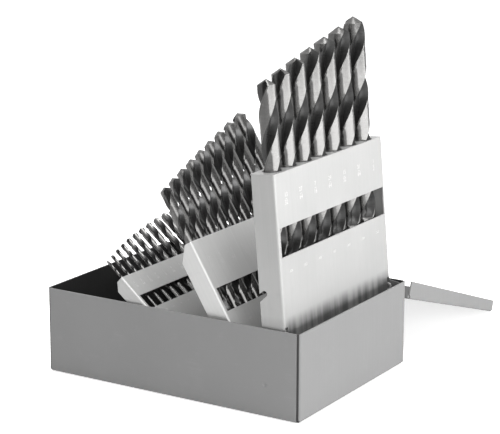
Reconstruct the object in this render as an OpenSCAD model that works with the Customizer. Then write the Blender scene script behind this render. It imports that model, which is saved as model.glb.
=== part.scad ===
// Fold-out drill bit case: a folded sheet tray and lid, three tilting bit holders
// tied together by bars, and 29 twist drill bits in steps of a 64th of an inch.
// X runs along the tray, +Y is the hinge side, +Z is up, and the tray stands on Z = 0.

/* [Tray] */
// Length of the tray outside
case_l = 169; // [167:0.5:180]
// Width of the tray outside, front to hinge side
case_w = 124; // [122:0.5:140]
// Height of the tray rim above the surface it stands on
case_h = 50; // [49:0.5:60]
// Thickness of the tray and lid sheet
sheet = 0.8; // [0.6:0.1:1]
// Outside radius of the tray and lid bends
bend_r = 1.4; // [1.2:0.1:2.4]
// Width of the open seam at each upright corner
seam = 0.6; // [0.3:0.1:1]

/* [Lid] */
// Depth of the lid's front skirt, panel included
lid_front_skirt = 7.3; // [6:0.1:9]
// Depth of the lid's end skirts at the hinge, panel included
lid_hinge_skirt = 10.5; // [9:0.1:13]
// Space between the lid's skirts and the tray walls
lid_gap = 0.4; // [0.3:0.1:0.8]

/* [Hinge] */
// Radius of the hinge pin
hinge_pin_r = 1; // [0.8:0.1:1.1]
// Outside radius of the hinge knuckles
knuckle_r = 1.9; // [1.8:0.1:2]
// Height of the hinge pin below the tray rim
hinge_drop = 5.2; // [5.1:0.1:6]
// Length of the hinge
hinge_l = 132; // [100:1:150]
// Width of the hinge leaf on the tray
hinge_leaf_h = 14; // [8:0.5:20]

/* [Holders] */
// Thickness of the holder sheet
plate = 0.7; // [0.6:0.1:0.8]
// Height of the large bit holder above its pivot
large_h = 89.5; // [80:0.5:90]
// Height of the medium bit holder above its pivot
medium_h = 72.9; // [68:0.1:76]
// Height of the small bit holder above its pivot
small_h = 75.9; // [72:0.1:76]
// Lean of the large holder when raised, from upright
large_lean = 5; // [4.5:0.1:5.6]
// Lean of the medium holder when raised
medium_lean = 31.5; // [30:0.5:33]
// Lean of the small holder when raised
small_lean = 50; // [48:0.5:52]
// Front to back depth of the large holder
large_depth = 14.4; // [14.3:0.1:14.8]
// Front to back depth of the medium holder
medium_depth = 11.7; // [11.5:0.1:12]
// Front to back depth of the small holder
small_depth = 8.2; // [8:0.1:8.5]
// Height of the large holder's window sill above its pivot
large_sill = 44; // [40:0.5:50]
// Height of the large holder's window
large_window = 16.1; // [10:0.1:20]
// Height of the medium holder's window sill above its pivot
medium_sill = 30.1; // [26:0.1:34]
// Height of the medium holder's window
medium_window = 13.9; // [8:0.1:16]
// Height of the small holder's window sill above its pivot
small_sill = 51.6; // [50.6:0.1:54]
// Height of the small holder's window
small_window = 10; // [6:0.1:12]
// Height of the seat under the large holder's smallest bit, above the pivot
large_seat_first = 5.5; // [5.2:0.1:8]
// Height of the seat under the large holder's largest bit
large_seat_last = 8.1; // [6:0.1:8.5]
// Height of the seat under the medium holder's smallest bit, above the pivot
medium_seat_first = 2.4; // [2:0.1:6]
// Height of the seat under the medium holder's largest bit
medium_seat_last = 5.4; // [4:0.1:6]
// Length of the smallest bit that is inside the small holder
small_in_first = 33; // [32:0.5:38]
// Length of the small holder's largest bit that is inside it
small_in_last = 68.2; // [67.6:0.1:69]

/* [Pivots] */
// Radius of the pivot pins
pivot_r = 1.2; // [1:0.1:1.4]
// Running clearance of pins in their holes, on the radius
pin_fit = 0.06; // [0.03:0.01:0.1]
// Distance of the pivots in front of the holder faces
pivot_out = 4.1; // [4:0.1:4.4]
// Distance from the tray's right end to the large holder's pivot
large_pivot_in = 5.5; // [5.2:0.1:6]
// Depth of the large holder's pivot below the rim
large_pivot_drop = 4; // [4:0.1:4.6]
// Spacing along the tray from the large to the medium pivot
medium_pivot_dx = 24.2; // [23.9:0.1:24.5]
// Drop from the large to the medium pivot
medium_pivot_dz = 15.5; // [15.5:0.1:15.8]
// Spacing along the tray from the medium to the small pivot
small_pivot_dx = 26.9; // [26.6:0.1:27.2]
// Drop from the medium to the small pivot
small_pivot_dz = 12.6; // [12.5:0.1:12.8]
// Thickness of the bracket plates that carry the pivot pins
bracket_t = 0.8; // [0.6:0.1:0.9]
// Thickness of the tie bars
bar_t = 0.6; // [0.5:0.1:0.7]
// Half of the tie bars' width
bar_r = 2; // [1.8:0.1:2.1]
// Radius of the tie bar pins
bar_pin_r = 1; // [0.8:0.1:1.1]
// Side space between neighbouring plates and bars
side_gap = 0.15; // [0.1:0.01:0.16]

/* [Bits] */
// Length of the 1/2 inch bit
half_inch_l = 152.4; // [150:0.1:152.6]
// Length of the 1/4 inch bit
quarter_inch_l = 101.6; // [100:0.1:102]
// Length of the 1/16 inch bit
sixteenth_inch_l = 47.6; // [46:0.1:49]
// Fluted length of the 1/2 inch bit
half_inch_flute = 119; // [105:0.1:122]
// Fluted length of the 1/4 inch bit
quarter_inch_flute = 75; // [62:0.1:78]
// Fluted length of the 1/16 inch bit
sixteenth_inch_flute = 22.2; // [18:0.1:24]
// Length of one full turn of the large bits' flutes
large_lead = 65; // [55:0.5:75]
// Twist of the smaller bits' flutes as a lead in bit diameters
flute_lead = 5.44; // [4:0.01:7]
// Space around each bit in its guide holes
bit_fit = 0.3; // [0.3:0.05:0.4]
// Space between the largest bit of a holder and its face
bit_face_gap = 0.5; // [0.45:0.05:0.55]

/* [Hidden] */
$fn = 48;
step64 = 25.4 / 64;
// first and last bit of each holder, in 64ths of an inch, large holder first
first64 = [26, 17, 4];
last64 = [32, 25, 16];
LARGE = 0;
MEDIUM = 1;
SMALL = 2;

// sizes of the holders, large first
height = [large_h, medium_h, small_h];
depth = [large_depth, medium_depth, small_depth];
lean = [large_lean, medium_lean, small_lean];
sill = [large_sill, medium_sill, small_sill];
window = [large_window, medium_window, small_window];
large_pivot = [case_l / 2 - large_pivot_in, case_h - large_pivot_drop];
medium_pivot = large_pivot - [medium_pivot_dx, medium_pivot_dz];
small_pivot = medium_pivot - [small_pivot_dx, small_pivot_dz];
pivot = [large_pivot, medium_pivot, small_pivot];

// layers at each long wall, as the distance of their outer side from the tray's outside:
// small and large holders, lower bar, medium holder, upper bar
bracket_y = sheet;
outer_y = bracket_y + bracket_t + side_gap;
lower_bar_y = outer_y + plate + side_gap;
medium_y = lower_bar_y + bar_t + side_gap;
upper_bar_y = medium_y + plate + side_gap;
layer = [outer_y, medium_y, outer_y];
function half_out(h) = case_w / 2 - layer[h];
function half_in(h) = half_out(h) - plate;

// tie bar pins in the holders' own frames, [out of the face, along the bits]
upper_bar_on_large = [-4, 0.9];
upper_bar_on_medium = [-7.8, 3.9];
lower_bar_on_medium = [-3.4, 2.2];
lower_bar_on_small = [-6.4, 6];
// a point of a holder's frame in the tray's X and Z
function in_tray(h, p) = pivot[h] + [
    p[0] * cos(lean[h]) - p[1] * sin(lean[h]), p[0] * sin(lean[h]) + p[1] * cos(lean[h])];

// bits
function dia(n) = n * step64;
function between(n, at4, at16, at32) =
    n >= 16 ? at16 + (at32 - at16) * (n - 16) / 16 : at4 + (at16 - at4) * (n - 4) / 12;
function bit_l(n) = between(n, sixteenth_inch_l, quarter_inch_l, half_inch_l);
function flute_l(n) = between(n, sixteenth_inch_flute, quarter_inch_flute, half_inch_flute);
function lead(h, n) = h == LARGE ? large_lead : flute_lead * dia(n);
function sum_dia(a, b) = a > b ? 0 : dia(a) + sum_dia(a + 1, b);
function bit_gap(h) =
    (2 * half_in(h) - sum_dia(first64[h], last64[h])) / (last64[h] - first64[h] + 2);
function bit_y(h, n) =
    -half_in(h) + bit_gap(h) * (n - first64[h] + 1) + sum_dia(first64[h], n - 1) + dia(n) / 2;
// line of the bit axes behind the pivot
function axis_v(h) = -pivot_out - plate - bit_face_gap - dia(last64[h]) / 2;
function back_v(h) = -pivot_out - depth[h];

// the seats slope between the heights under their first and last bits
seat_t = 0.8;
seat_ends = [
    [large_seat_first, large_seat_last],
    [medium_seat_first, medium_seat_last],
    [small_h - small_in_first, small_h - small_in_last]];
function seat_slope(h) =
    (seat_ends[h][1] - seat_ends[h][0]) / (bit_y(h, last64[h]) - bit_y(h, first64[h]));
function seat_top(h, y) = seat_ends[h][0] + seat_slope(h) * (y - bit_y(h, first64[h]));
// a round shank on a slope touches it at its uphill edge
function seat_u(h, n) = seat_top(h, bit_y(h, n)) + abs(seat_slope(h)) * dia(n) / 2;

// hinge, with Y and Z of its pin
hinge_at = [case_w / 2 + knuckle_r + 0.5, case_h - hinge_drop];
lid_rest = 0.2;
lid_top = case_h + lid_rest + sheet;
lid_half_l = case_l / 2 + lid_gap + sheet;
lid_front_y = case_w / 2 + lid_gap + sheet;
lid_back_y = case_w / 2 + lid_gap + sheet;
// turn that lays the lid's front bend on the surface behind the tray
lid_reach = [hinge_at[0] + lid_front_y - bend_r, lid_top - bend_r - hinge_at[1]];
lid_open = 180 + asin((hinge_at[1] - bend_r) / norm(lid_reach)) - atan2(lid_reach[1], lid_reach[0]);

LARGE_BITS = ["bit_26_64", "bit_27_64", "bit_28_64", "bit_29_64", "bit_30_64", "bit_31_64", "bit_32_64"];
MEDIUM_BITS = [
    "bit_17_64", "bit_18_64", "bit_19_64", "bit_20_64", "bit_21_64",
    "bit_22_64", "bit_23_64", "bit_24_64", "bit_25_64"];
SMALL_BITS = [
    "bit_04_64", "bit_05_64", "bit_06_64", "bit_07_64", "bit_08_64", "bit_09_64", "bit_10_64",
    "bit_11_64", "bit_12_64", "bit_13_64", "bit_14_64", "bit_15_64", "bit_16_64"];
BIT_NAMES = [LARGE_BITS, MEDIUM_BITS, SMALL_BITS];

// ---------- helpers ----------
// both long walls: the children, and their mirror image
module both_sides() {
    children();
    mirror([0, 1, 0]) children();
}

// a holder's own frame: +X out of its face, +Z along its bits, origin on its pivot
module at_holder(h) {
    translate([pivot[h][0], 0, pivot[h][1]]) rotate([0, -lean[h], 0]) children();
}

// a flat outline of X and Z made into a plate, from y0 inwards by t
module plate_xz(y0, t) {
    translate([0, y0 + t, 0]) rotate([90, 0, 0]) linear_extrude(height = t) children();
}

// a quarter ring of sheet in the quadrant of +X and +Y
module quarter_ring(r, t) {
    intersection() {
        difference() {
            circle(r = r);
            circle(r = r - t);
        }
        square(r);
    }
}

// a sheet bent up at both edges: 2w wide outside, h high, standing on Y = 0
module channel_outline(w, h, r, t) {
    translate([-w + r, 0]) square([2 * (w - r), t]);
    for (side = [-1, 1]) {
        scale([side, 1]) {
            translate([w - r, r]) mirror([0, 1]) quarter_ring(r, t);
            translate([w - t, r]) square([t, h - r]);
        }
    }
}

// ---------- tray ----------
rivet_at = [large_pivot[0] - 0.66 * medium_pivot_dx, 0.365 * case_h];
rivet_r = 1.6;
dent_depth = 0.4;

module tray_long_walls() {
    rotate([90, 0, 90])
        linear_extrude(height = case_l - 2 * (bend_r + seam), center = true)
            channel_outline(case_w / 2, case_h, bend_r, sheet);
}

// an end wall with its bottom bend, and short tabs turned in behind the long walls
module tray_end_wall() {
    tab = 1.2;
    half = case_w / 2 - sheet;
    // floor strip and bottom bend
    translate([0, case_w / 2 - bend_r, 0]) rotate([90, 0, 0])
        linear_extrude(height = case_w - 2 * bend_r) {
            translate([case_l / 2 - bend_r - seam - 1, 0]) square([seam + 1, sheet]);
            translate([case_l / 2 - bend_r, bend_r]) mirror([0, 1]) quarter_ring(bend_r, sheet);
        }
    // upright wall with a bend and a tab at each end
    translate([0, 0, bend_r]) linear_extrude(height = case_h - bend_r) {
        translate([case_l / 2 - sheet, -half + bend_r]) square([sheet, 2 * (half - bend_r)]);
        for (side = [-1, 1]) {
            scale([1, side]) {
                translate([case_l / 2 - bend_r, half - bend_r]) quarter_ring(bend_r, sheet);
                translate([case_l / 2 - bend_r - seam - tab, half - sheet]) square([seam + tab, sheet]);
            }
        }
    }
}

module tray() {
    color([0.5, 0.5, 0.5]) difference() {
        union() {
            tray_long_walls();
            tray_end_wall();
            mirror([1, 0, 0]) tray_end_wall();
        }
        // dents where the brackets are riveted on, seen from outside
        both_sides() translate([rivet_at[0], -case_w / 2 + dent_depth, rivet_at[1]])
            rotate([90, 0, 0]) cylinder(h = dent_depth + 0.1, r1 = rivet_r / 2, r2 = rivet_r);
    }
}

// ---------- brackets that carry the pivots ----------
module bracket_outline() {
    top = case_h - 1.5;
    right = case_l / 2 - bend_r - seam - 1.5;
    difference() {
        polygon([
            [small_pivot[0] - 8, bend_r], [right, bend_r], [right, top], [large_pivot[0] - 6, top],
            [medium_pivot[0] - 8, medium_pivot[1] + 7], [small_pivot[0] - 8, small_pivot[1] + 6]]);
        for (p = pivot) translate(p) circle(r = pivot_r);
        translate(rivet_at) circle(r = rivet_r);
    }
}

module bracket_front() {
    color([0.3, 0.3, 0.31]) plate_xz(-case_w / 2 + bracket_y, bracket_t) bracket_outline();
}

module bracket_back() {
    color([0.3, 0.3, 0.31]) mirror([0, 1, 0])
        plate_xz(-case_w / 2 + bracket_y, bracket_t) bracket_outline();
}

// flush rivets that hold the brackets to the long walls
module bracket_rivets() {
    color([0.4, 0.4, 0.4]) both_sides()
        plate_xz(-case_w / 2 + sheet, bracket_t) translate(rivet_at) circle(r = rivet_r);
}

// stub pins from the bracket to the inside of a holder's side plate
module pivot_pins(h) {
    color([0.7, 0.7, 0.7]) both_sides()
        plate_xz(-case_w / 2 + bracket_y, layer[h] + plate - bracket_y)
            translate(pivot[h]) circle(r = pivot_r);
}

module large_pivot_pins() pivot_pins(LARGE);
module medium_pivot_pins() pivot_pins(MEDIUM);
module small_pivot_pins() pivot_pins(SMALL);

// ---------- holders ----------
// slot in the large side plates' back edge, which the medium pivot pins enter on folding
module pin_slot() {
    slot_r = pivot_r + 0.5;
    entry_turn = 12;
    hull()
        for (turn = [0, entry_turn])
            rotate(turn) translate([-medium_pivot_dz, medium_pivot_dx]) circle(r = slot_r);
}

// the lug around each pivot, and its height where it meets the face
lug_r = 3.2;
lug_top = 4.2;
// corner cut off the back of each holder's top, as [depth, height], large holder first
corner_cut = [[0.8, 0.8], [7, 8.5], [4, 4]];

// outline of a side plate: X out of the face, Y along the bits
module side_outline(h) {
    cut = corner_cut[h];
    foot = 3;
    difference() {
        union() {
            polygon([
                [-pivot_out, -foot], [-pivot_out, height[h]],
                [back_v(h) + cut[0], height[h]], [back_v(h), height[h] - cut[1]],
                [back_v(h), -foot + 2], [back_v(h) + 2, -foot]]);
            polygon([[-pivot_out - 1, -foot], [0, -lug_r], [0, lug_r], [-pivot_out - 1, lug_top]]);
            circle(r = lug_r);
        }
        circle(r = pivot_r + pin_fit);
        if (h == LARGE) pin_slot();
    }
}

// face with its window; its lower corners are cut away, notch high and notch_w wide
module face_outline(h, notch, notch_w) {
    edge = 1.6;
    difference() {
        translate([-half_out(h), -1]) square([2 * half_out(h), height[h] + 1]);
        translate([-half_out(h) + plate + edge, sill[h]])
            square([2 * (half_out(h) - plate - edge), window[h]]);
        for (side = [-1, 1])
            scale([side, 1]) translate([half_in(h) - notch_w, -2]) square([notch_w, notch + 2]);
    }
}

// the corner between face and side plate is a bend, rounded outside
module holder_shell(h, bar_pins, notch, notch_w) {
    bend = 1.4;
    color([0.8, 0.8, 0.8]) at_holder(h) difference() {
        union() {
            both_sides() plate_xz(-half_out(h), plate) side_outline(h);
            translate([-pivot_out - plate, 0, 0]) rotate([90, 0, 90])
                linear_extrude(height = plate) face_outline(h, notch, notch_w);
        }
        // round the outer edge of the bend above the pivot lug
        both_sides() translate([-pivot_out - bend, -half_out(h) + bend, lug_top + 1])
            linear_extrude(height = height[h]) difference() {
                translate([0, -bend - 1]) square(bend + 1);
                circle(r = bend);
            }
        // holes of the tie bar pins
        for (p = bar_pins)
            both_sides() plate_xz(-half_out(h) - 1, plate + 1) translate(p) circle(r = bar_pin_r);
    }
}

module guide_holes(h, u) {
    for (n = [first64[h] : last64[h]])
        translate([axis_v(h), bit_y(h, n), u - 1])
            cylinder(h = seat_t + 2, r = dia(n) / 2 + bit_fit);
}

// guide plate between the side plates, with a hole for each bit; lip stands out at the back
module guide(h, u, lip, half) {
    color([0.75, 0.75, 0.75]) at_holder(h) difference() {
        translate([back_v(h) - lip, -half, u])
            cube([depth[h] - plate + lip, 2 * half, seat_t]);
        guide_holes(h, u);
    }
}

// sloping seat strip between the side plates; half is half of its width
module seat(h, half) {
    color([0.6, 0.6, 0.6]) at_holder(h)
        translate([back_v(h), 0, 0]) rotate([90, 0, 90])
            linear_extrude(height = depth[h] - plate)
                polygon([
                    [-half, seat_top(h, -half)], [half, seat_top(h, half)],
                    [half, seat_top(h, half) - seat_t], [-half, seat_top(h, -half) - seat_t]]);
}

// the lower corners of a face are cut away where a tie bar passes it
notch_play = 0.35;
upper_bar_in = case_w / 2 - upper_bar_y - bar_t - notch_play;
lower_bar_in = case_w / 2 - lower_bar_y - bar_t - notch_play;
large_notch_w = half_in(LARGE) - upper_bar_in;
medium_notch_w = half_in(MEDIUM) - upper_bar_in;
small_notch_w = half_in(SMALL) - lower_bar_in;
guide_lip = 0.8;
// the top guides lie at the top of the large holder, and under the cut corners of the others
top_guide_u = [
    large_h - seat_t,
    medium_h - corner_cut[MEDIUM][1] - seat_t,
    small_h - corner_cut[SMALL][1] - seat_t];
// height of each mid guide as a share of the window sill's height
large_mid_share = 0.8;
medium_mid_share = 0.74;
small_mid_share = 0.9;

module large_holder() {
    notch = upper_bar_on_large[1] + bar_r + 3.2;
    holder_shell(LARGE, [upper_bar_on_large], notch, large_notch_w);
}
module large_top_guide() guide(LARGE, top_guide_u[LARGE], guide_lip, half_in(LARGE));
module large_mid_guide() guide(LARGE, large_mid_share * large_sill, 0, half_in(LARGE));
module large_seat() seat(LARGE, half_in(LARGE) - large_notch_w);

module medium_holder() {
    notch = upper_bar_on_medium[1] + bar_r + 1.7;
    holder_shell(MEDIUM, [upper_bar_on_medium, lower_bar_on_medium], notch, medium_notch_w);
}
module medium_top_guide() guide(MEDIUM, top_guide_u[MEDIUM], 0, half_in(MEDIUM));
module medium_mid_guide()
    guide(MEDIUM, medium_mid_share * medium_sill, 0, half_in(MEDIUM));
module medium_seat() seat(MEDIUM, half_in(MEDIUM) - medium_notch_w);

module small_holder() {
    notch = lower_bar_on_small[1] + bar_r + 1;
    holder_shell(SMALL, [lower_bar_on_small], notch, small_notch_w);
}
module small_top_guide() guide(SMALL, top_guide_u[SMALL], 0, half_in(SMALL));
module small_mid_guide() guide(SMALL, small_mid_share * small_sill, 0, half_in(SMALL));

module small_seat() seat(SMALL, half_in(SMALL) - small_notch_w);

// ---------- tie bars and their pins ----------
// pins from a holder's side plate across a bar layer
module bar_pins(h, p, y_from, y_to) {
    color([0.7, 0.7, 0.7]) both_sides() at_holder(h)
        plate_xz(-case_w / 2 + y_from, y_to - y_from) translate(p) circle(r = bar_pin_r);
}

module large_bar_pins()
    bar_pins(LARGE, upper_bar_on_large, outer_y, upper_bar_y + bar_t + side_gap / 2);
module medium_bar_pins() {
    bar_pins(MEDIUM, upper_bar_on_medium, medium_y, upper_bar_y + bar_t + side_gap / 2);
    bar_pins(MEDIUM, lower_bar_on_medium, lower_bar_y - side_gap / 2, medium_y + plate);
}
module small_bar_pins()
    bar_pins(SMALL, lower_bar_on_small, outer_y, lower_bar_y + bar_t + side_gap / 2);

// a flat bar between two points of X and Z, with an eye at each end;
// the far eye has play, for the small error of the four-bar motion
module tie_bar(a, b, y0) {
    far_play = 0.12;
    color([0.7, 0.7, 0.7]) both_sides() plate_xz(-case_w / 2 + y0, bar_t) difference() {
        union() {
            translate(a) circle(r = bar_r);
            translate(b) circle(r = bar_r);
            translate(a) rotate(atan2(b[1] - a[1], b[0] - a[0]))
                translate([0, -bar_r]) square([norm(b - a), 2 * bar_r]);
        }
        translate(a) circle(r = bar_pin_r + pin_fit);
        translate(b) circle(r = bar_pin_r + far_play);
    }
}

module upper_tie_bars()
    tie_bar(in_tray(LARGE, upper_bar_on_large), in_tray(MEDIUM, upper_bar_on_medium), upper_bar_y);
module lower_tie_bars()
    tie_bar(in_tray(MEDIUM, lower_bar_on_medium), in_tray(SMALL, lower_bar_on_small), lower_bar_y);

// ---------- hinge ----------
knuckles = 5;
knuckle_gap = 0.3;
knuckle_pitch = hinge_l / knuckles;
hinge_bore = hinge_pin_r + 0.05;
leaf_t = 0.8;

// knuckles of one leaf, with a web filling the corner towards the leaf; turn is -1 below, 1 above
module knuckle_set(first, web_from, turn) {
    for (i = [first : 2 : knuckles - 1])
        translate([-hinge_l / 2 + i * knuckle_pitch + knuckle_gap / 2, hinge_at[0], hinge_at[1]])
            rotate([90, 0, 90]) linear_extrude(height = knuckle_pitch - knuckle_gap) difference() {
                union() {
                    circle(r = knuckle_r);
                    translate([web_from, turn < 0 ? -knuckle_r : 0]) square([-web_from, knuckle_r]);
                }
                circle(r = hinge_bore);
            }
}

// room for the other leaf's knuckles
module knuckle_room(first) {
    room = knuckle_r + 0.35;
    for (i = [first : 2 : knuckles - 1])
        translate([
            -hinge_l / 2 + i * knuckle_pitch - knuckle_gap / 2,
            hinge_at[0] - room - 2, hinge_at[1] - room])
            cube([knuckle_pitch + knuckle_gap, room + 4, 2 * room]);
}

module hinge_tray_leaf() {
    color([0.45, 0.45, 0.45]) union() {
        difference() {
            translate([-hinge_l / 2, case_w / 2, hinge_at[1] - hinge_leaf_h])
                cube([hinge_l, leaf_t, hinge_leaf_h]);
            knuckle_room(1);
        }
        knuckle_set(0, -knuckle_r - 0.5, -1);
    }
}

module hinge_pin() {
    color([0.7, 0.7, 0.7]) translate([-hinge_l / 2, hinge_at[0], hinge_at[1]]) rotate([0, 90, 0])
        cylinder(h = hinge_l, r = hinge_pin_r);
}

// the lid is drawn closed, then turned open
module lid_turned() {
    translate([0, hinge_at[0], hinge_at[1]]) rotate([-lid_open, 0, 0])
        translate([0, -hinge_at[0], -hinge_at[1]]) children();
}

lid_leaf_top = lid_top - 0.4;

module hinge_lid_leaf() {
    color([0.45, 0.45, 0.45]) lid_turned() union() {
        difference() {
            translate([-hinge_l / 2, lid_back_y, hinge_at[1]])
                cube([hinge_l, leaf_t, lid_leaf_top - hinge_at[1]]);
            knuckle_room(0);
            // the web and bore of the lid's own knuckles
            translate([-hinge_l / 2 - 1, hinge_at[0], hinge_at[1]]) rotate([0, 90, 0])
                cylinder(h = hinge_l + 2, r = hinge_bore);
        }
        knuckle_set(1, lid_back_y - hinge_at[0], 1);
    }
}

// ---------- lid ----------
module lid_end_skirt() {
    back = lid_back_y;
    // in Y and Z, seen from the end: deeper towards the hinge
    translate([lid_half_l - sheet, 0, 0]) rotate([90, 0, 90]) linear_extrude(height = sheet)
        polygon([
            [-lid_front_y + bend_r, lid_top - bend_r], [back - bend_r, lid_top - bend_r],
            [back, lid_top - bend_r - 1], [back, lid_top - lid_hinge_skirt],
            [-lid_front_y + bend_r, lid_top - lid_front_skirt]]);
    translate([lid_half_l - bend_r, lid_back_y - bend_r, lid_top - bend_r]) rotate([90, 0, 0])
        linear_extrude(height = lid_front_y + lid_back_y - 2 * bend_r) quarter_ring(bend_r, sheet);
}

module lid() {
    color([0.5, 0.5, 0.5]) lid_turned() union() {
        flat_l = lid_half_l - bend_r;
        flat_w = lid_front_y + lid_back_y - 2 * bend_r;
        rotate([90, 0, 90]) linear_extrude(height = 2 * flat_l, center = true) {
            // panel
            translate([-lid_front_y + bend_r, lid_top - sheet]) square([flat_w, sheet]);
            // front bend and skirt
            translate([-lid_front_y + bend_r, lid_top - bend_r]) mirror([1, 0])
                quarter_ring(bend_r, sheet);
            translate([-lid_front_y, lid_top - lid_front_skirt])
                square([sheet, lid_front_skirt - bend_r]);
            // back bend and short skirt above the hinge
            translate([lid_back_y - bend_r, lid_top - bend_r]) quarter_ring(bend_r, sheet);
            translate([lid_back_y - sheet, hinge_at[1] + knuckle_r + 0.3])
                square([sheet, lid_top - bend_r - hinge_at[1] - knuckle_r - 0.3]);
        }
        lid_end_skirt();
        mirror([1, 0, 0]) lid_end_skirt();
    }
}

// ---------- bits ----------
// cross-section of the fluted part: two lands and two flutes, as [angle, share of the radius]
flute_shape = [[-36, 1], [0, 1], [34, 1], [60, 0.68], [90, 0.4], [120, 0.64]];
function fluted_section(r) = [
    for (half = [0, 180])
        for (p = flute_shape)
            r * p[1] * [cos(half + p[0]), sin(half + p[0])]];

module bit(h, n) {
    d = dia(n);
    l = bit_l(n);
    tip = d * 0.28;
    sunk = d * 0.04;
    shank = l - flute_l(n);
    twisted = flute_l(n) - tip + sunk;
    turn = 360 * twisted / lead(h, n);
    slice_turn = 44;
    color([0.25, 0.24, 0.24]) at_holder(h) translate([axis_v(h), bit_y(h, n), seat_u(h, n)]) {
        cylinder(h = shank, r = d / 2);
        translate([0, 0, shank - sunk])
            linear_extrude(height = twisted, twist = -turn, slices = ceil(turn / slice_turn), $fn = 0)
                polygon(fluted_section(d / 2 * 0.985));
        translate([0, 0, l - tip - sunk]) rotate(turn - 4)
            linear_extrude(height = tip + sunk, scale = 0.12, $fn = 0)
                polygon(fluted_section(d / 2 * 0.97));
    }
}

// ---------- the assembly ----------
tray();
bracket_front();
bracket_back();
bracket_rivets();
large_pivot_pins();
medium_pivot_pins();
small_pivot_pins();
hinge_tray_leaf();
hinge_pin();
hinge_lid_leaf();
lid();
large_holder();
large_top_guide();
large_mid_guide();
large_seat();
large_bar_pins();
medium_holder();
medium_top_guide();
medium_mid_guide();
medium_seat();
medium_bar_pins();
small_holder();
small_top_guide();
small_mid_guide();
small_seat();
small_bar_pins();
upper_tie_bars();
lower_tie_bars();
for (h = [LARGE, MEDIUM, SMALL])
    for (i = [0 : len(BIT_NAMES[h]) - 1])
        bit(h, first64[h] + i);
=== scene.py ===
"""Looks of the fold-out drill bit case: sheet metal tray and lid, plated holders and 29 twist drills."""
import math

import bpy
from mathutils import Matrix, Vector


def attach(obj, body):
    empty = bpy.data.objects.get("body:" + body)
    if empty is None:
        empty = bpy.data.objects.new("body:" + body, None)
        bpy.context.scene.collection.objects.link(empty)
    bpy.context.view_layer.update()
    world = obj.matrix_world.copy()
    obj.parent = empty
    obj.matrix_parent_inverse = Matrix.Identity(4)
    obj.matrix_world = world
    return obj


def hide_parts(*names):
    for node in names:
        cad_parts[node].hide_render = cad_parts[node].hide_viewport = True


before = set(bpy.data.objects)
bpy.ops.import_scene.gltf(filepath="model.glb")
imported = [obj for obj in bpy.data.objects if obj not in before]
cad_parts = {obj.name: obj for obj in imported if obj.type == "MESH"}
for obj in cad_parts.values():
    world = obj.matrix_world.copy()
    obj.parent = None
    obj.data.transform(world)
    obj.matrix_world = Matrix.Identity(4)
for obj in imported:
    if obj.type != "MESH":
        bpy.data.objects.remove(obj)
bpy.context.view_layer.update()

scene = bpy.context.scene
scene.view_settings.view_transform = "Standard"
MM = 0.001
INCH = 25.4

# ---------- sizes of the case, in millimetres, as the part's source has them ----------
CASE_L, CASE_W, CASE_H = 169, 124, 50
SHEET = 0.8
PLATE = 0.7
PIVOT_OUT = 4.1
BIT_FACE_GAP = 0.5
# one turn of the flutes: in bit diameters, and in millimetres for the large bits
FLUTE_LEAD = 5.44
LARGE_LEAD = 65
# length over all and fluted length of the 1/16, 1/4 and 1/2 inch bits, by 64ths of an inch
SIZES_AT = {4: (47.6, 22.2), 16: (101.6, 75), 32: (152.4, 119)}
# turn of the flutes where a bit leaves its holder
FLUTE_TURN = math.radians(52)


class Holder:
    """One tilting holder: its frame has +X out of the face, +Z along the bits and its origin on the pivot."""

    def __init__(self, name, first, last, lean, pivot, height, layer, sill, window, seats):
        self.name, self.first, self.last = name, first, last
        self.lean, self.pivot, self.height = lean, pivot, height
        self.half_in = CASE_W / 2 - layer - PLATE
        self.sill, self.window, self.seats = sill, window, seats
        self.body = name + "_rack"
        self.sizes = range(first, last + 1)

    def matrix(self):
        """From the holder's frame in millimetres to the row frame in metres."""
        place = Matrix.Translation(Vector((self.pivot[0], 0, self.pivot[1])) * MM)
        return place @ Matrix.Rotation(-math.radians(self.lean), 4, "Y") @ Matrix.Scale(MM, 4)

    def gap(self):
        return (2 * self.half_in - sum(map(dia, self.sizes))) / (len(self.sizes) + 1)

    def bit_y(self, n):
        before = sum(dia(k) for k in range(self.first, n))
        return -self.half_in + self.gap() * (n - self.first + 1) + before + dia(n) / 2

    def axis_v(self):
        return -PIVOT_OUT - PLATE - BIT_FACE_GAP - dia(self.last) / 2

    def lead(self, n):
        return LARGE_LEAD if self.name == "large" else FLUTE_LEAD * dia(n)

    def seat_u(self, n):
        """Height of a bit's foot on the sloping seat, which it touches at its uphill edge."""
        y0, y1 = self.bit_y(self.first), self.bit_y(self.last)
        slope = (self.seats[1] - self.seats[0]) / (y1 - y0)
        return self.seats[0] + slope * (self.bit_y(n) - y0) + abs(slope) * dia(n) / 2


def dia(n):
    return n * INCH / 64


def between(n, column):
    low, high = (16, 32) if n >= 16 else (4, 16)
    a, b = SIZES_AT[low][column], SIZES_AT[high][column]
    return a + (b - a) * (n - low) / (high - low)


HOLDERS = [
    Holder("large", first=26, last=32, lean=5, pivot=(79, 46), height=89.5, layer=1.75,
           sill=44, window=16.1, seats=(5.5, 8.1)),
    Holder("medium", first=17, last=25, lean=31.5, pivot=(54.8, 30.5), height=72.9, layer=3.35,
           sill=30.1, window=13.9, seats=(2.4, 5.4)),
    Holder("small", first=4, last=16, lean=50, pivot=(27.9, 17.9), height=75.9, layer=1.75,
           sill=51.6, window=10, seats=(42.9, 7.7)),
]


# ---------- camera, floor and light ----------
CAMERA_AT = (0.5544, -0.8691, 0.3489)
CAMERA_AZIMUTH, CAMERA_ELEVATION, CAMERA_ROLL = 31.875, 13.507, 0.119


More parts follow.
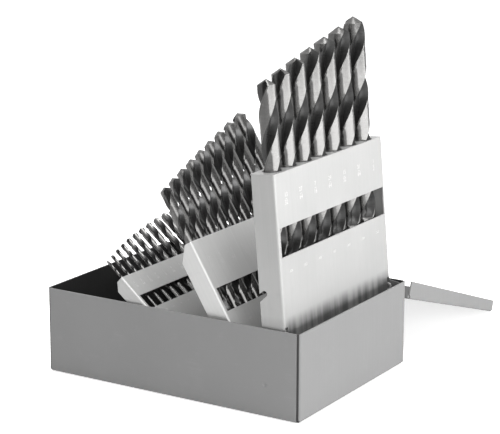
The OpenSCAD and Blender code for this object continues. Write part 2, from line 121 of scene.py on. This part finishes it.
def make_camera():
    """The photograph's viewpoint, fitted to the tray's corners."""
    azimuth, elevation, roll = map(math.radians, (CAMERA_AZIMUTH, CAMERA_ELEVATION, CAMERA_ROLL))
    look = Vector((-math.sin(azimuth) * math.cos(elevation),
                   math.cos(azimuth) * math.cos(elevation), -math.sin(elevation)))
    right = Vector((math.cos(azimuth), math.sin(azimuth), 0))
    up = right.cross(look)
    turned = (right * math.cos(roll) + up * math.sin(roll),
              up * math.cos(roll) - right * math.sin(roll))
    data = bpy.data.cameras.new("camera")
    data.sensor_width, data.lens = 36, 132.6
    data.shift_x, data.shift_y = 0.0028, -0.037
    camera = bpy.data.objects.new("camera", data)
    camera.matrix_world = Matrix((turned[0], turned[1], -look)).transposed().to_4x4()
    camera.location = CAMERA_AT
    scene.collection.objects.link(camera)
    scene.camera = camera


# strength of the world as a lamp
WORLD_LIGHT = 0.25


def make_world():
    """White to the eye and in metal, softer as a lamp."""
    world = bpy.data.worlds.new("studio")
    scene.world = world
    world.use_nodes = True
    t = Tree(world.node_tree)
    path = t.node("ShaderNodeLightPath")
    seen = t.math("MAXIMUM", path.outputs["Is Camera Ray"], path.outputs["Is Glossy Ray"])
    seen = t.math("MAXIMUM", seen, path.outputs["Is Transmission Ray"])
    background = world.node_tree.nodes["Background"]
    background.inputs["Color"].default_value = (1, 1, 1, 1)
    t.link(t.math("MULTIPLY_ADD", seen, 1 - WORLD_LIGHT, WORLD_LIGHT), background.inputs["Strength"])


def make_lamp(name, at, aim, width, height, watts):
    """A soft lamp at a place in metres, turned to the point that it lights."""
    light = bpy.data.lights.new(name, "AREA")
    light.shape, light.size, light.size_y, light.energy = "RECTANGLE", width, height, watts
    lamp = bpy.data.objects.new(name, light)
    lamp.location = at
    lamp.rotation_mode = "QUATERNION"
    lamp.rotation_quaternion = (Vector(aim) - Vector(at)).to_track_quat("-Z", "Y")
    lamp.visible_camera = False
    scene.collection.objects.link(lamp)


# the floor lies just under the tray; its glow is white to the eye and fainter in metal
FLOOR_HALF, FLOOR_DROP = 6, 0.0006
FLOOR_GLOW_SEEN, FLOOR_GLOW_IN_METAL = 0.75, 0.2


def make_floor():
    mesh = bpy.data.meshes.new("floor")
    corners = [(x * FLOOR_HALF, y * FLOOR_HALF, 0) for x, y in ((-1, -1), (1, -1), (1, 1), (-1, 1))]
    mesh.from_pydata(corners, [], [(0, 1, 2, 3)])
    floor = bpy.data.objects.new("floor", mesh)
    floor.location.z = -FLOOR_DROP
    scene.collection.objects.link(floor)
    material, t, shader = new_material("pale_floor", roughness=0.9, specular=0.0)
    speckle = t.noise(t.node("ShaderNodeTexCoord").outputs["Object"], 40, 3)
    t.link(t.ramp(speckle, 0.3, 0.7, (0.86,) * 3, (0.88,) * 3), shader.inputs["Base Color"])
    path = t.node("ShaderNodeLightPath")
    mirrored = t.math("MAXIMUM", path.outputs["Is Glossy Ray"], path.outputs["Is Transmission Ray"])
    seen = t.math("MULTIPLY", path.outputs["Is Camera Ray"], FLOOR_GLOW_SEEN)
    seen = t.math("MULTIPLY_ADD", mirrored, FLOOR_GLOW_IN_METAL, seen)
    shader.inputs["Emission Color"].default_value = (1, 1, 1, 1)
    t.link(seen, shader.inputs["Emission Strength"])
    mesh.materials.append(material)


# ---------- node helpers and shared effects ----------
class Tree:
    """Short hands for one node tree."""

    def __init__(self, tree):
        self.tree = tree

    def node(self, kind, **settings):
        made = self.tree.nodes.new(kind)
        for key, value in settings.items():
            setattr(made, key, value)
        return made

    def link(self, source, target):
        self.tree.links.new(source, target)

    def put(self, socket, value):
        if isinstance(value, bpy.types.NodeSocket):
            self.link(value, socket)
        else:
            socket.default_value = value

    def math(self, operation, *values):
        made = self.node("ShaderNodeMath", operation=operation)
        for socket, value in zip(made.inputs, values):
            self.put(socket, value)
        return made.outputs[0]

    def noise(self, vector, scale, detail, distortion=0.0):
        made = self.node("ShaderNodeTexNoise")
        self.link(vector, made.inputs["Vector"])
        for key, value in (("Scale", scale), ("Detail", detail), ("Distortion", distortion)):
            self.put(made.inputs[key], value)
        return made.outputs["Fac"]

    def ramp(self, value, low, high, dark, light):
        """A blend from dark to light as value goes from low to high."""
        made = self.node("ShaderNodeMix", data_type="RGBA")
        spread = self.node("ShaderNodeMapRange")
        self.put(spread.inputs["Value"], value)
        self.put(spread.inputs["From Min"], low)
        self.put(spread.inputs["From Max"], high)
        self.link(spread.outputs["Result"], made.inputs["Factor"])
        for name, colour in (("A", dark), ("B", light)):
            sockets = [s for s in made.inputs if s.name == name and s.type == "RGBA"]
            self.put(sockets[0], (*colour, 1) if isinstance(colour, tuple) else colour)
        return [s for s in made.outputs if s.type == "RGBA"][0]

    def spread(self, value, low, high, to_low, to_high):
        """A number that goes from to_low to to_high as value goes from low to high."""
        made = self.node("ShaderNodeMapRange")
        keys = ("Value", "From Min", "From Max", "To Min", "To Max")
        for key, given in zip(keys, (value, low, high, to_low, to_high)):
            self.put(made.inputs[key], given)
        return made.outputs["Result"]

    def within(self, value, limit):
        """1 where value is nearer to zero than limit."""
        return self.math("LESS_THAN", self.math("ABSOLUTE", value), limit)

    def stretched(self, vector, scale, turn=0.0):
        """The coordinates turned about Y and then scaled, for streaks along a leaning holder."""
        made = self.node("ShaderNodeMapping", vector_type="POINT")
        self.link(vector, made.inputs["Vector"])
        made.inputs["Rotation"].default_value = (0, turn, 0)
        made.inputs["Scale"].default_value = scale
        return made.outputs["Vector"]


def new_material(name, roughness, specular=0.5, metallic=0.0):
    material = bpy.data.materials.new(name)
    material.use_nodes = True
    shader = material.node_tree.nodes["Principled BSDF"]
    shader.inputs["Roughness"].default_value = roughness
    shader.inputs["Specular IOR Level"].default_value = specular
    shader.inputs["Metallic"].default_value = metallic
    return material, Tree(material.node_tree), shader


def new_group(name, inputs, outputs):
    """A node group whose inputs are (name, kind, default) and outputs (name, kind)."""
    group = bpy.data.node_groups.new(name, "ShaderNodeTree")
    for socket, kind, default in inputs:
        made = group.interface.new_socket(socket, in_out="INPUT", socket_type=kind)
        if default is not None:
            made.default_value = default
    for socket, kind in outputs:
        group.interface.new_socket(socket, in_out="OUTPUT", socket_type=kind)
    t = Tree(group)
    return group, t, t.node("NodeGroupInput"), t.node("NodeGroupOutput")


FLOAT, COLOUR, VECTOR = "NodeSocketFloat", "NodeSocketColor", "NodeSocketVector"


def make_sheet_grain():
    """Rolled sheet under a finish: soft clouds of tone, and fine streaks along the rolling direction."""
    group, t, given, out = new_group(
        "sheet_grain",
        [("Vector", VECTOR, None), ("Colour", COLOUR, (0.5, 0.5, 0.5, 1)), ("Clouds", FLOAT, 0.05),
         ("Streaks", FLOAT, 0.05), ("Rough Low", FLOAT, 0.3), ("Rough High", FLOAT, 0.4)],
        [("Colour", COLOUR), ("Roughness", FLOAT), ("Height", FLOAT)])
    vector = given.outputs["Vector"]
    clouds = t.noise(vector, 28, 3)
    streaks = t.noise(t.stretched(vector, (900, 900, 22)), 1, 4)
    fine = t.noise(t.stretched(vector, (2600, 2600, 60)), 1, 2)
    tone = t.math("MULTIPLY_ADD", t.math("SUBTRACT", clouds, 0.5), given.outputs["Clouds"], 1.0)
    tone = t.math("ADD", tone, t.math("MULTIPLY", t.math("SUBTRACT", streaks, 0.5), given.outputs["Streaks"]))
    scale = t.node("ShaderNodeVectorMath", operation="SCALE")
    t.link(given.outputs["Colour"], scale.inputs[0])
    t.link(tone, scale.inputs["Scale"])
    t.link(scale.outputs["Vector"], out.inputs["Colour"])
    rough = t.spread(streaks, 0.3, 0.7, given.outputs["Rough Low"], given.outputs["Rough High"])
    t.link(rough, out.inputs["Roughness"])
    t.link(t.math("ADD", streaks, t.math("MULTIPLY", fine, 0.5)), out.inputs["Height"])
    return group


def make_handling_wear():
    """Scuffs and rubbed spots: a mask that is 1 where the finish has worn."""
    group, t, given, out = new_group(
        "handling_wear",
        [("Vector", VECTOR, None), ("Amount", FLOAT, 0.5), ("Size", FLOAT, 120.0)],
        [("Mask", FLOAT)])
    vector = given.outputs["Vector"]
    patches = t.noise(vector, given.outputs["Size"], 5)
    scratches = t.noise(t.stretched(vector, (60, 1500, 700), 0.5), 1, 2, 0.3)
    worn = t.math("MULTIPLY", t.spread(patches, 0.58, 0.72, 0, 1), t.spread(scratches, 0.5, 0.75, 0.2, 1))
    t.link(t.math("MULTIPLY", worn, given.outputs["Amount"]), out.inputs["Mask"])
    return group


SHEET_GRAIN = make_sheet_grain()
HANDLING_WEAR = make_handling_wear()


def use_group(t, group, **values):
    made = t.node("ShaderNodeGroup", node_tree=group)
    for key, value in values.items():
        t.put(made.inputs[key.replace("_", " ")], value)
    return made


def add_bump(t, shader, height, strength, distance):
    bump = t.node("ShaderNodeBump")
    bump.inputs["Strength"].default_value = strength
    bump.inputs["Distance"].default_value = distance
    t.link(height, bump.inputs["Height"])
    t.link(bump.outputs["Normal"], shader.inputs["Normal"])


def enamel(name, grey, worn_grey, smooth, rough, inside=None):
    """Satin enamel on sheet: faint orange peel, slow tone changes and a few rubbed spots.
    The tray's inner faces can be set far darker than its outer faces."""
    material, t, shader = new_material(name, roughness=0.45)
    place = t.node("ShaderNodeTexCoord").outputs["Object"]
    grain = use_group(t, SHEET_GRAIN, Vector=place, Colour=(grey, grey, grey, 1), Clouds=0.10,
                      Streaks=0.03, Rough_Low=smooth, Rough_High=rough)
    wear = use_group(t, HANDLING_WEAR, Vector=place, Amount=0.5, Size=90.0)
    colour = t.ramp(wear.outputs["Mask"], 0, 1, grain.outputs["Colour"], (worn_grey,) * 3)
    # the tray's inner faces take the much darker grey given as inside
    if inside is not None:
        axes = t.node("ShaderNodeSeparateXYZ")
        t.link(place, axes.inputs[0])
        skin = 0.05
        well = t.math("MULTIPLY", t.within(axes.outputs["X"], (CASE_L / 2 - SHEET + skin) * MM),
                      t.within(axes.outputs["Y"], (CASE_W / 2 - SHEET + skin) * MM))
        well = t.math("MULTIPLY", well, t.math("GREATER_THAN", axes.outputs["Z"], SHEET / 2 * MM))
        colour = t.ramp(well, 0, 1, colour, (inside,) * 3)
    t.link(colour, shader.inputs["Base Color"])
    t.link(grain.outputs["Roughness"], shader.inputs["Roughness"])
    peel = t.noise(place, 900, 2)
    add_bump(t, shader, peel, 0.10, 0.0004)
    return material


# how far above the rim the painted dark reflection reaches on a raised holder
PAINTED_REFLECTION_H = 7


def plated(name, grey, lean, smooth, rough, painted_foot_reflection=False):
    """Dull bright plating on sheet with rolling streaks that run along a holder leaning by lean degrees.
    Its foot can carry a painted reflection: streaky darkening just above the rim that stands in for the
    tray's dark inside mirrored in the plate."""
    material, t, shader = new_material(name, roughness=0.35, metallic=0.3)
    coords = t.node("ShaderNodeTexCoord").outputs["Object"]
    place = t.stretched(coords, (1, 1, 1), math.radians(lean))
    grain = use_group(t, SHEET_GRAIN, Vector=place, Colour=(grey, grey, grey * 0.99, 1), Clouds=0.2,
                      Streaks=0.16, Rough_Low=smooth, Rough_High=rough)
    wear = use_group(t, HANDLING_WEAR, Vector=coords, Amount=0.35, Size=160.0)
    colour = t.ramp(wear.outputs["Mask"], 0, 1, grain.outputs["Colour"], (grey * 0.82,) * 3)
    # painted reflection: the foot darkens in streaks towards the rim, standing in for the tray's dark inside
    # seen in the plate
    if painted_foot_reflection:
        axes = t.node("ShaderNodeSeparateXYZ")
        t.link(coords, axes.inputs[0])
        reflection_streaks = t.noise(t.stretched(coords, (1, 210, 12)), 1, 1)
        low_down = t.spread(axes.outputs["Z"], CASE_H * MM, (CASE_H + PAINTED_REFLECTION_H) * MM, 1, 0)
        painted_reflection = t.math("MULTIPLY", low_down, t.spread(reflection_streaks, 0.35, 0.62, 0.25, 1))
        colour = t.ramp(painted_reflection, 0, 1, colour, (grey * 0.38,) * 3)
    t.link(colour, shader.inputs["Base Color"])
    t.link(grain.outputs["Roughness"], shader.inputs["Roughness"])
    add_bump(t, shader, grain.outputs["Height"], 0.06, 0.0002)
    return material


def turned_steel(name, grey):
    """Pins: plain turned steel with fine rings."""
    material, t, shader = new_material(name, roughness=0.35, metallic=1.0)
    place = t.node("ShaderNodeTexCoord").outputs["Object"]
    rings = t.noise(t.stretched(place, (60, 4000, 60)), 1, 2)
    t.link(t.ramp(rings, 0.3, 0.7, (grey * 0.85,) * 3, (grey,) * 3), shader.inputs["Base Color"])
    t.link(t.spread(rings, 0.3, 0.7, 0.28, 0.42), shader.inputs["Roughness"])
    add_bump(t, shader, rings, 0.1, 0.0002)
    return material


def bit_finish(name, grey, smooth, rough, metallic):
    """Drill steel: tempered oxide or ground land, with grinding lines across the bit and oily patches."""
    material, t, shader = new_material(name, roughness=0.3, metallic=metallic)
    place = t.node("ShaderNodeTexCoord").outputs["Object"]
    lines = t.noise(t.stretched(place, (250, 250, 5200)), 1, 2)
    wear = use_group(t, HANDLING_WEAR, Vector=place, Amount=0.6, Size=260.0)
    tone = t.ramp(lines, 0.3, 0.7, (grey * 0.8, grey * 0.79, grey * 0.78),
                  (grey * 1.15, grey * 1.14, grey * 1.12))
    t.link(t.ramp(wear.outputs["Mask"], 0, 1, tone, (grey * 1.5 + 0.02,) * 3), shader.inputs["Base Color"])
    t.link(t.spread(lines, 0.3, 0.7, smooth, rough), shader.inputs["Roughness"])
    add_bump(t, shader, lines, 0.08, 0.0001)
    return material


# ---------- twist drills ----------
# the cross-section: half of it, from a margin's edge on, as angles and shares of the radius
LAND_END = math.radians(100)
MARGIN_END = math.radians(9)
HEEL_SPAN = math.radians(46)
LAND_RELIEF = 0.965
WEB = 0.17
FLUTE_FLOOR = WEB * 1.15
# the higher it is, the tighter the bends between lip, heel and web
BLEND = 5
POINT_HALF_ANGLE = math.radians(59)
FLUTE_SLOT, LAND_SLOT = 0, 1


def section_radius(angle):
    """Share of the bit's radius at an angle of its cross-section: land, heel curve, web and straight lip."""
    a = angle % math.pi
    if a <= MARGIN_END:
        return 1.0
    if a <= LAND_END:
        return LAND_RELIEF
    lip = WEB / math.sin(min(math.pi / 2, math.pi - a + math.asin(WEB)))
    heel = max(0, LAND_RELIEF * (1 - (a - LAND_END) / HEEL_SPAN))
    return min(1.0, sum(share ** BLEND for share in (lip, heel, FLUTE_FLOOR)) ** (1 / BLEND))


def section_angles():
    """Sampling angles of half a cross-section: close at the edges of the land."""
    step_end = MARGIN_END * 1.06
    land = [0.0, MARGIN_END * 0.5, MARGIN_END, step_end]
    land += [step_end + (LAND_END - step_end) * k / 5 for k in range(1, 6)]
    flute = [LAND_END + (math.pi - LAND_END) * k / 14 for k in range(1, 14)]
    return land + flute


HALF_ANGLES = section_angles()
ANGLES = HALF_ANGLES + [a + math.pi for a in HALF_ANGLES]
SHAPE = [section_radius(a) for a in ANGLES]
IS_LAND = [(a % math.pi) < LAND_END - 1e-6 for a in ANGLES]


def bit_mesh(name, n, lead, mouth):
    """A jobber twist drill, point up, standing on the origin, in millimetres: shank, flutes that run out
    and point. The flutes have turned by FLUTE_TURN where the bit leaves its holder, mouth above its foot."""
    d = dia(n)
    radius, length, fluted = d / 2, between(n, 0), between(n, 1)
    shank = length - fluted
    point = radius / math.tan(POINT_HALF_ANGLE)
    run_out = 0.9 * d
    foot = min(0.4, d * 0.1)
    top = length - point
    # rings as (height, share of the flute's depth, size)
    rings = [(0, 0, 1 - foot / radius), (foot, 0, 1), (shank * 0.5, 0, 1), (shank - 0.01, 0, 1)]
    for k in range(1, 9):
        s = k / 8
        rings.append((shank + run_out * s, 0.5 - 0.5 * math.cos(math.pi * s), 1))
    start = shank + run_out
    degrees_a_ring = 11
    steps = max(8, math.ceil((top - start) / lead * 360 / degrees_a_ring))
    rings += [(start + (top - 0.02 * d - start) * k / steps, 1, 1) for k in range(1, steps + 1)]
    phase = FLUTE_TURN - 2 * math.pi * (mouth - shank) / lead

    def spot(angle, share, z, size):
        turn = phase + 2 * math.pi * max(0.0, z - shank) / lead
        r = radius * size * share
        return (r * math.cos(angle + turn), r * math.sin(angle + turn), z)

    verts, faces, slots = [], [], []
    for z, depth, size in rings:
        for angle, shape in zip(ANGLES, SHAPE):
            verts.append(spot(angle, 1 - depth * (1 - shape), z, size))
    count = len(ANGLES)
    # the point: where the section meets the cone, then in to the chisel edge
    for share in (1, 0.62, 0.3):
        for angle, shape in zip(ANGLES, SHAPE):
            r = shape * share
            verts.append(spot(angle, r, length - point * r, 1))
    last = len(rings) + 2
    verts.append((0, 0, length))
    first_fluted = 5
    for j in range(last):
        fluted_ring = first_fluted <= j < len(rings)
        for i in range(count):
            k = (i + 1) % count
            faces.append((j * count + i, j * count + k, (j + 1) * count + k, (j + 1) * count + i))
            slots.append(FLUTE_SLOT if fluted_ring and not IS_LAND[i] else LAND_SLOT)
    for i in range(count):
        faces.append((last * count + i, last * count + (i + 1) % count, len(verts) - 1))
        slots.append(LAND_SLOT)
    faces.append(tuple(reversed(range(count))))
    slots.append(LAND_SLOT)
    mesh = bpy.data.meshes.new(name)
    mesh.from_pydata(verts, [], faces)
    mesh.polygons.foreach_set("material_index", slots)
    mesh.polygons.foreach_set("use_smooth", [True] * len(faces))
    mesh.update()
    mesh.set_sharp_from_angle(angle=math.radians(32))
    return mesh


def make_bits():
    for holder in HOLDERS:
        for n in holder.sizes:
            node = "bit_%02d_64" % n
            mouth = holder.height - holder.seat_u(n)
            mesh = bit_mesh("drill_%02d_64" % n, n, holder.lead(n), mouth)
            mesh.materials.append(FLUTE_OXIDE)
            mesh.materials.append(GROUND_LAND)
            bit = bpy.data.objects.new(mesh.name, mesh)
            scene.collection.objects.link(bit)
            stand = Matrix.Translation((holder.axis_v(), holder.bit_y(n), holder.seat_u(n)))
            mesh.transform(holder.matrix() @ stand)
            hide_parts(node)
            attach(bit, node)


# ---------- size marks ----------
# thickness and lift off the face, and the largest height of a number, in millimetres
MARK_DEPTH, MARK_LIFT, MARK_MAX = 0.04, 0.02, 3.4
# distance of a fraction's numbers from its bar, and height of the decimal, as shares of a number's height
LINE_SPACING, DECIMAL_SIZE = 0.62, 0.62


def fraction(n):
    """A size in 64ths of an inch as the two numbers of its shortest fraction."""
    top, bottom = n, 64
    while top % 2 == 0:
        top, bottom = top // 2, bottom // 2
    return str(top), str(bottom)


def flat_text(text, size):
    """Outline of a number as a mesh in its own XY plane, centred, in millimetres."""
    curve = bpy.data.curves.new("mark", "FONT")
    curve.body = text
    curve.size = size
    curve.align_x = curve.align_y = "CENTER"
    curve.extrude = MARK_DEPTH
    curve.resolution_u = 2
    label = bpy.data.objects.new("mark", curve)
    scene.collection.objects.link(label)
    graph = bpy.context.evaluated_depsgraph_get()
    mesh = bpy.data.meshes.new_from_object(label.evaluated_get(graph))
    bpy.data.objects.remove(label)
    bpy.data.curves.remove(curve)
    return mesh


def join_meshes(name, meshes):
    """One mesh from several, which are used up."""
    verts, faces = [], []
    for mesh in meshes:
        base = len(verts)
        verts += [v.co.copy() for v in mesh.vertices]
        faces += [tuple(base + i for i in p.vertices) for p in mesh.polygons]
        bpy.data.meshes.remove(mesh)
    joined = bpy.data.meshes.new(name)
    joined.from_pydata(verts, [], faces)
    joined.update()
    return joined


def on_face(y, u):
    """Places a flat mark on a holder's face, upright, its top towards the bits' points."""
    upright = Matrix(((0, 0, 1, 0), (1, 0, 0, 0), (0, 1, 0, 0), (0, 0, 0, 1)))
    return Matrix.Translation((-PIVOT_OUT + MARK_LIFT, y, u)) @ upright


def make_size_marks():
    for holder in HOLDERS:
        middle_dia = (dia(holder.first) + dia(holder.last)) / 2
        size = min(MARK_MAX, 0.36 * middle_dia + 0.75)
        upper = holder.sill + holder.window
        room = holder.height - upper
        marks = []
        for n in holder.sizes:
            top, bottom = fraction(n)
            y = holder.bit_y(n)
            middle = upper + room / 2
            line = LINE_SPACING * size
            for text, u in ((top, middle + line), ("–", middle), (bottom, middle - line)):
                mesh = flat_text(text, size)
                mesh.transform(on_face(y, u))
                marks.append(mesh)
            decimal = ("%.3f" % (n / 64)).lstrip("0")
            mesh = flat_text(decimal, size * DECIMAL_SIZE)
            mesh.transform(on_face(y, holder.sill - 0.3 * room))
            marks.append(mesh)
        mesh = join_meshes(holder.name + "_size_marks", marks)
        mesh.transform(holder.matrix())
        mesh.materials.append(STRUCK_MARK)
        sheet = bpy.data.objects.new(mesh.name, mesh)
        scene.collection.objects.link(sheet)
        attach(sheet, holder.body)


# ---------- finishes on the CAD nodes ----------
# rounding of the edges, in millimetres
SHEET_EDGE, HOLDER_EDGE, PIN_EDGE, BAR_EDGE = 0.16, 0.14, 0.12, 0.1


def dress(node, material, edge=0.0):
    """A material, and edges rounded by edge millimetres, on a CAD node whose shape is right."""
    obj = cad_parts[node]
    obj.data.materials.clear()
    obj.data.materials.append(material)
    for slot in obj.material_slots:
        slot.material = material
    if edge:
        bevel = obj.modifiers.new("soft_edges", "BEVEL")
        bevel.width = edge * MM
        bevel.segments = 2
        bevel.limit_method = "ANGLE"
        bevel.angle_limit = math.radians(40)
        bevel.harden_normals = False


def dress_case():
    dress("tray", TRAY_ENAMEL, SHEET_EDGE)
    dress("lid", CASE_ENAMEL, SHEET_EDGE)
    for node in ("hinge_tray_leaf", "hinge_lid_leaf"):
        dress(node, CASE_ENAMEL, PIN_EDGE)
    for node in ("bracket_front", "bracket_back"):
        dress(node, DARK_COAT, PIN_EDGE)
    dress("bracket_rivets", CASE_ENAMEL)
    for node in ("hinge_pin", "large_pivot_pins", "medium_pivot_pins", "small_pivot_pins",
                 "large_bar_pins", "medium_bar_pins", "small_bar_pins"):
        dress(node, TURNED_PIN, PIN_EDGE)
    for node in ("upper_tie_bars", "lower_tie_bars"):
        dress(node, BAR_PLATE, BAR_EDGE)
    for holder in HOLDERS:
        for part in ("holder", "top_guide", "mid_guide", "seat"):
            dress(holder.name + "_" + part, HOLDER_PLATE[holder.name], HOLDER_EDGE)


# ---------- the whole scene ----------
make_camera()
make_world()
make_lamp("side_strip", at=(0.60, 0.22, 0.10), aim=(0, 0.22, 0.10), width=1.5, height=0.13, watts=3.3)
make_lamp("corner_soft", at=(0.7, -0.95, 0.5), aim=(0.03, 0, 0.06), width=0.9, height=0.5, watts=4.1)
make_lamp("top_soft", at=(0.25, 0, 1.4), aim=(0, 0, 0.05), width=1.2, height=1.2, watts=26)
make_floor()

CASE_ENAMEL = enamel("grey_enamel", grey=0.21, worn_grey=0.25, smooth=0.42, rough=0.52)
TRAY_ENAMEL = enamel("tray_enamel", grey=0.21, worn_grey=0.25, smooth=0.42, rough=0.52, inside=0.022)
DARK_COAT = enamel("dark_bracket_coat", grey=0.05, worn_grey=0.09, smooth=0.4, rough=0.5)
# painted light and shade: one plating on all three holders, its grey set darker on the strongly lit large
# holder and lighter on the medium holder that the large one shades
PLATE_GREY_WITH_PAINTED_LIGHT = {"large": 0.37, "medium": 0.55, "small": 0.44}
HOLDER_PLATE = {}
# only the large holder's plate gets the painted dark reflection at its foot
for holder in HOLDERS:
    HOLDER_PLATE[holder.name] = plated(
        holder.name + "_holder_plate", PLATE_GREY_WITH_PAINTED_LIGHT[holder.name], holder.lean, smooth=0.32, rough=0.42,
        painted_foot_reflection=holder.name == "large")
BAR_PLATE = plated("tie_bar_plate", grey=0.5, lean=60, smooth=0.3, rough=0.42)
TURNED_PIN = turned_steel("turned_pin_steel", grey=0.55)
FLUTE_OXIDE = bit_finish("flute_oxide", grey=0.02, smooth=0.26, rough=0.38, metallic=0.0)
GROUND_LAND = bit_finish("ground_land", grey=0.15, smooth=0.18, rough=0.26, metallic=0.95)
STRUCK_MARK = plated("struck_size_mark", grey=0.6, lean=0, smooth=0.3, rough=0.4)

dress_case()
make_bits()
make_size_marks()
